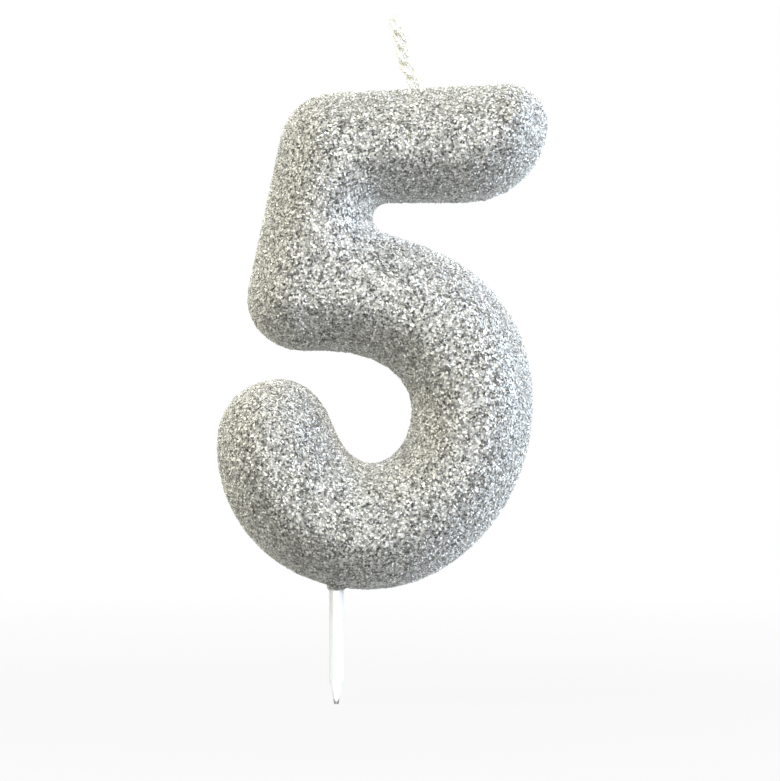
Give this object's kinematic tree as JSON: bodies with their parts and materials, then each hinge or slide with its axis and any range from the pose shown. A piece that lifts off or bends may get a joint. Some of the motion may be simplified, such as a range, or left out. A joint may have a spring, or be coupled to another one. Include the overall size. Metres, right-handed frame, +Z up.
{
  "type": "number birthday candle",
  "caption": "Chunky rounded number five birthday candle in a silver glitter coat, with a braided wick on top and a slim plastic pick that pushes into a cake.",
  "frame": {"origin": "on the pick's axis, level with the numeral's lowest point, where the top of the cake lies", "axes": "+Z up along the pick, +X to the numeral's right as it is read, -Y out of its domed front"},
  "size_m": [0.0459, 0.014, 0.0955],
  "materials": {
    "wax": "paraffin wax, satin",
    "glitter": "fine silver glitter in clear varnish",
    "cotton": "plaited cotton, waxed",
    "pick_plastic": "moulded, milky"
  },
  "bodies": {
    "root": {"wax_body": "wax", "glitter_coat": "glitter", "wick_yarn_1": "cotton", "wick_yarn_2": "cotton", "wick_yarn_3": "cotton", "pick": "pick_plastic"}
  },
  "joints": []
}
